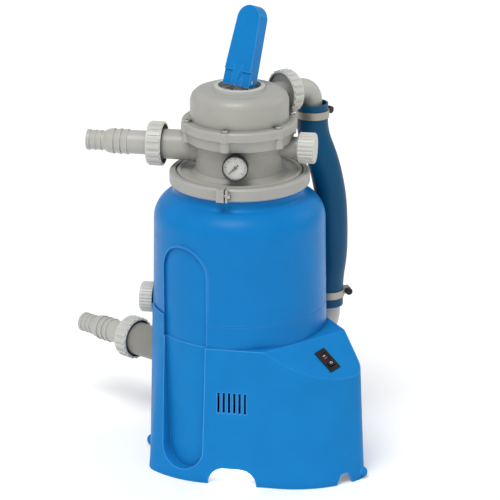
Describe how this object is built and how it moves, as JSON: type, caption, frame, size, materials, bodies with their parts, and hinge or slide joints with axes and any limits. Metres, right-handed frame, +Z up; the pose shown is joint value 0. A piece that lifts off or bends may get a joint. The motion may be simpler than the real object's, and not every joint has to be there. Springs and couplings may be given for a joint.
{
  "type": "pump water filter",
  "caption": "Sand filter tank on a moulded pump base, with a multiport valve, a gauge, hose tails and a hose from pump to valve.",
  "frame": {"origin": "on the floor, on the axis of the tank, at the centre of the hollow foot", "axes": "+Z up along the tank's axis, -Y towards the vented front wall, -X towards the return hose tail"},
  "size_m": [0.5289, 0.3259, 0.7319],
  "materials": {
    "base_blue": "fine moulded texture, satin",
    "tank_blue": "smooth blow moulded, semi gloss",
    "valve_grey": "warm light grey ABS, satin",
    "handle_blue": "blue, semi gloss",
    "clamp_grey": "mid grey, satin",
    "pump_grey": "dark grey, satin",
    "black_plastic": "black, satin",
    "inner_white": "natural white",
    "hose_blue": "dark blue hose, smooth",
    "seal_rubber": "black rubber",
    "steel": "stainless",
    "motor_metal": "cast, painted grey",
    "iron": "laminated",
    "dial_white": "white printed dial, ticks only",
    "lens": "clear",
    "sand": null
  },
  "bodies": {
    "base": {"base_housing": "base_blue", "tank": "tank_blue", "valve_body": "valve_grey", "valve_cover": "valve_grey", "position_ring": "valve_grey", "return_tail": "valve_grey", "suction_tail": "valve_grey", "top_elbow": "valve_grey", "volute": "valve_grey", "discharge_elbow": "valve_grey", "clamp_left": "clamp_grey", "clamp_right": "clamp_grey", "seal_plate": "pump_grey", "rocker_bezel": "black_plastic", "cable_gland": "black_plastic", "gauge_case": "black_plastic", "fan_cover": "black_plastic", "pump_tray": "black_plastic", "lateral_hub": "inner_white", "laterals": "inner_white", "standpipe": "inner_white", "diffuser": "inner_white", "filter_hose": "hose_blue", "union_seals": "seal_rubber", "flange_seals": "seal_rubber", "spider_gasket": "seal_rubber", "stem_seal": "seal_rubber", "shaft_seal": "seal_rubber", "motor_saddles": "seal_rubber", "tray_screws": "steel", "clamp_bolts": "steel", "cover_screws": "steel", "bearings": "steel", "hose_clamps": "steel", "motor_casing": "motor_metal", "stator": "iron", "gauge_dial": "dial_white", "gauge_lens": "lens", "sand_bed": "sand"},
    "lift": {"spring_seat": "inner_white", "rotor_spring": "steel"},
    "rotor_group": {"rotor": "inner_white", "stem": "inner_white", "handle_pin": "steel"},
    "handle": {"handle": "handle_blue"},
    "needle": {"gauge_needle": "black_plastic"},
    "rocker": {"rocker": "black_plastic"},
    "drain_washer": {"drain_seal": "seal_rubber"},
    "drain_cap": {"drain_cap": "valve_grey"},
    "waste_washer": {"waste_seal": "seal_rubber"},
    "waste_cap": {"waste_cap": "valve_grey"},
    "return_nut": {"return_nut": "valve_grey"},
    "suction_nut": {"suction_nut": "valve_grey"},
    "top_nut": {"top_nut": "valve_grey"},
    "pump_rotor": {"shaft": "steel", "impeller": "black_plastic", "motor_rotor": "iron", "cooling_fan": "black_plastic"},
    "clamp_screw_top": {"clamp_screw_top": "black_plastic"},
    "clamp_screw_foot": {"clamp_screw_foot": "black_plastic"}
  },
  "joints": [
    {"name": "rotor_lift", "type": "slide", "parent": "base", "child": "lift", "axis": [0, 0, 1], "range_m": [-0.004, 0], "deforming": ["rotor_spring"]},
    {"name": "valve_turn", "type": "hinge", "parent": "lift", "child": "rotor_group", "pos_m": [0, 0, 0.57], "axis": [0, 0, 1], "continuous": true},
    {"name": "handle_tilt", "type": "hinge", "parent": "rotor_group", "child": "handle", "pos_m": [0, 0, 0.618], "axis": [-0.8829, 0.4695, 0], "range_deg": [0, 47]},
    {"name": "needle_swing", "type": "hinge", "parent": "base", "child": "needle", "pos_m": [0, 0, 0.504], "axis": [0.1219, -0.9925, 0], "range_deg": [-270, 0]},
    {"name": "rocker_press", "type": "hinge", "parent": "base", "child": "rocker", "pos_m": [0.15573, -0.08825, 0.19902], "axis": [0.5287, 0.8382, 0.134], "range_deg": [0, 18]},
    {"name": "drain_cap_travel", "type": "slide", "parent": "base", "child": "drain_washer", "axis": [-1, 0, 0], "range_m": [0, 0.009]},
    {"name": "drain_cap_turn", "type": "hinge", "parent": "drain_washer", "child": "drain_cap", "pos_m": [0, 0, 0.252], "axis": [-1, 0, 0], "range_deg": [0, 1080]},
    {"name": "waste_cap_travel", "type": "slide", "parent": "base", "child": "waste_washer", "axis": [1, 0, 0], "range_m": [0, 0.009]},
    {"name": "waste_cap_turn", "type": "hinge", "parent": "waste_washer", "child": "waste_cap", "pos_m": [0, 0, 0.515], "axis": [1, 0, 0], "range_deg": [0, 1080]},
    {"name": "return_nut_turn", "type": "hinge", "parent": "base", "child": "return_nut", "pos_m": [0, 0, 0.509], "axis": [-1, 0, 0], "range_deg": [0, 720]},
    {"name": "suction_nut_turn", "type": "hinge", "parent": "base", "child": "suction_nut", "pos_m": [0, 0, 0.136], "axis": [-0.8746, 0.4848, 0], "range_deg": [0, 720]},
    {"name": "top_nut_turn", "type": "hinge", "parent": "base", "child": "top_nut", "pos_m": [0, 0, 0.584], "axis": [0.6428, 0.766, 0], "range_deg": [0, 720]},
    {"name": "pump_spin", "type": "hinge", "parent": "base", "child": "pump_rotor", "pos_m": [0, 0, 0.136], "axis": [0.8746, -0.4848, 0], "continuous": true},
    {"name": "clamp_screw_top_turn", "type": "hinge", "parent": "base", "child": "clamp_screw_top", "pos_m": [0.11071, 0.14245, 0.539], "axis": [0.8829, -0.4695, 0], "range_deg": [0, 720]},
    {"name": "clamp_screw_foot_turn", "type": "hinge", "parent": "base", "child": "clamp_screw_foot", "pos_m": [0.15064, 0.13472, 0.237], "axis": [0.5, -0.866, 0], "range_deg": [0, 720]}
  ],
  "couplings": [
    {"joint": "rotor_lift", "follows": "handle_tilt", "m_per_rad": -0.0048762},
    {"joint": "drain_cap_travel", "follows": "drain_cap_turn", "m_per_rad": 0.00047746},
    {"joint": "waste_cap_travel", "follows": "waste_cap_turn", "m_per_rad": 0.00047746}
  ]
}
